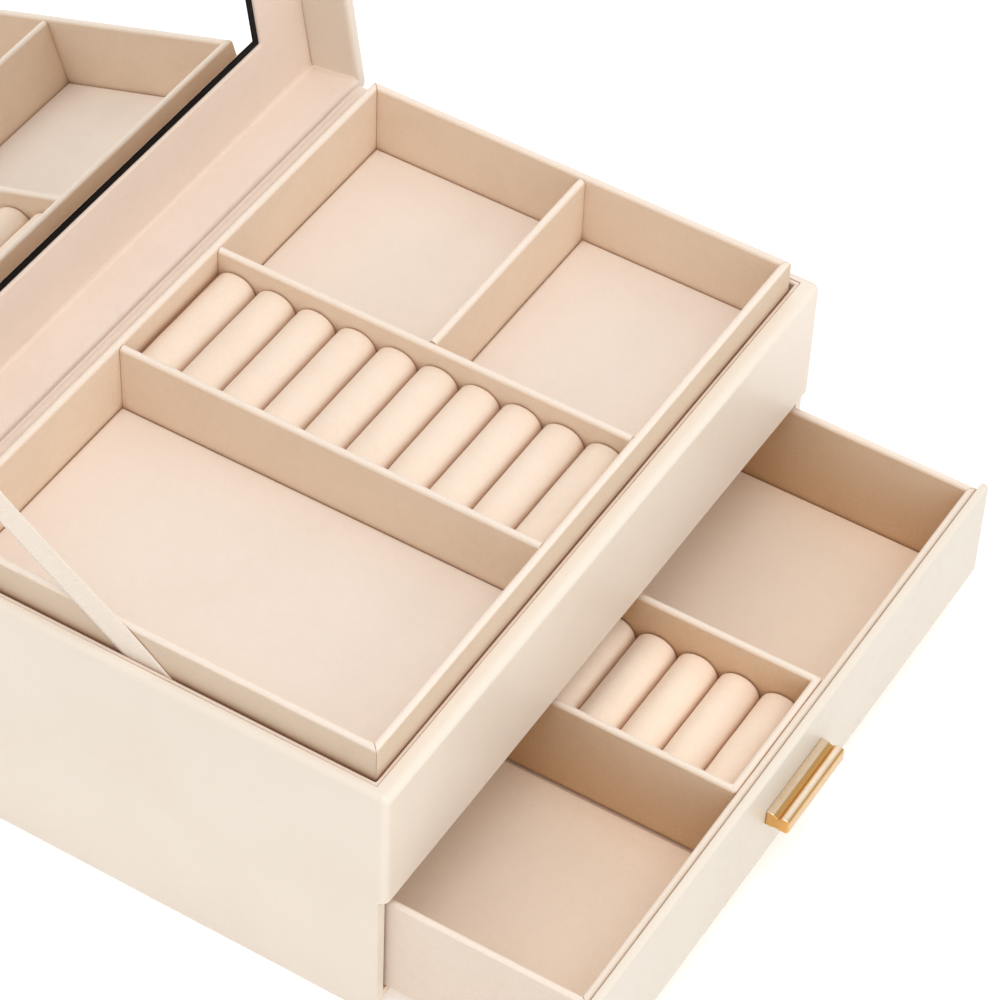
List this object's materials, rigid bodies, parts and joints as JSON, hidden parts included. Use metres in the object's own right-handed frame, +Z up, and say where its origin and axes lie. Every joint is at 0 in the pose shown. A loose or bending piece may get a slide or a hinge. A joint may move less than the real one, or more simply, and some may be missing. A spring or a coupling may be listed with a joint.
{
  "type": "jewellery box",
  "caption": "Leather-covered vanity and jewellery box with an open mirrored lid held by a ribbon, a velvet lift-out tray with ring rolls and a wide drawer with a gold pull.",
  "frame": {"origin": "on the table, below the middle of the whole object with its lid open and its drawer partly out", "axes": "+Z up, -Y towards the front with the drawer pull, +X to the right of someone who faces the front"},
  "size_m": [0.2336, 0.2748, 0.2485],
  "materials": {
    "cream_leather": "satin smooth artificial leather, cream",
    "cream_velvet": "short-pile velvet, beige",
    "roll_velvet": "soft short-pile velvet, pale peach",
    "hinge_velvet": "short-pile velvet strip",
    "stay_ribbon": "fine ribbed ribbon, cream",
    "gold_pull": "polished gold-coloured metal",
    "screw_steel": "plain",
    "black_trim": "gloss black",
    "mirror_face": "silvered",
    "backing_board": "plain fibreboard"
  },
  "bodies": {
    "case": {"case_front_upper": "cream_leather", "case_side_left": "cream_leather", "case_side_right": "cream_leather", "case_back": "cream_leather", "case_bottom": "cream_velvet", "case_shelf": "cream_velvet", "middle_floor_pad": "cream_velvet", "liner_front": "cream_velvet", "liner_back": "cream_velvet", "liner_left": "cream_velvet", "liner_right": "cream_velvet", "ledge_left": "cream_velvet", "ledge_right": "cream_velvet"},
    "tray": {"tray_wall_front": "cream_velvet", "tray_wall_back": "cream_velvet", "tray_wall_left": "cream_velvet", "tray_wall_right": "cream_velvet", "tray_bottom": "cream_velvet", "divider_left": "cream_velvet", "divider_mid": "cream_velvet", "divider_cross": "cream_velvet", "tray_pad_left": "cream_velvet", "tray_pad_back": "cream_velvet", "tray_pad_front": "cream_velvet", "ring_rolls_tray": "roll_velvet"},
    "drawer": {"drawer_front": "cream_leather", "drawer_wall_left": "cream_velvet", "drawer_wall_right": "cream_velvet", "drawer_wall_front": "cream_velvet", "drawer_wall_back": "cream_velvet", "drawer_bottom": "cream_velvet", "drawer_pad_left": "cream_velvet", "drawer_pad_right": "cream_velvet", "insert_left": "cream_velvet", "insert_right": "cream_velvet", "insert_front": "cream_velvet", "insert_back": "cream_velvet", "insert_floor": "cream_velvet", "ring_rolls_drawer": "roll_velvet", "handle": "gold_pull", "handle_screw_left": "screw_steel", "handle_screw_right": "screw_steel"},
    "lid": {"lid_panel": "cream_leather", "lid_wall_back": "cream_leather", "lid_wall_front": "cream_leather", "lid_wall_left": "cream_leather", "lid_wall_right": "cream_leather", "mirror_frame_back": "cream_velvet", "mirror_frame_front": "cream_velvet", "mirror_frame_left": "cream_velvet", "mirror_frame_right": "cream_velvet", "mirror_bezel": "black_trim", "mirror_glass": "mirror_face", "mirror_backing": "backing_board", "ribbon": "stay_ribbon", "hinge_leather": "cream_leather", "hinge_velvet": "hinge_velvet"}
  },
  "joints": [
    {"name": "lid_hinge", "type": "hinge", "parent": "case", "child": "lid", "pos_m": [0, 0.0896, 0.0935], "axis": [-1, 0, 0], "range_deg": [-99, 0], "deforming": ["ribbon", "hinge_leather", "hinge_velvet"]},
    {"name": "drawer_slide", "type": "slide", "parent": "case", "child": "drawer", "axis": [0, -1, 0], "range_m": [-0.0615, 0.045]},
    {"name": "tray_lift", "type": "slide", "parent": "case", "child": "tray", "axis": [0, 0, 1], "range_m": [0, 0.04]}
  ]
}
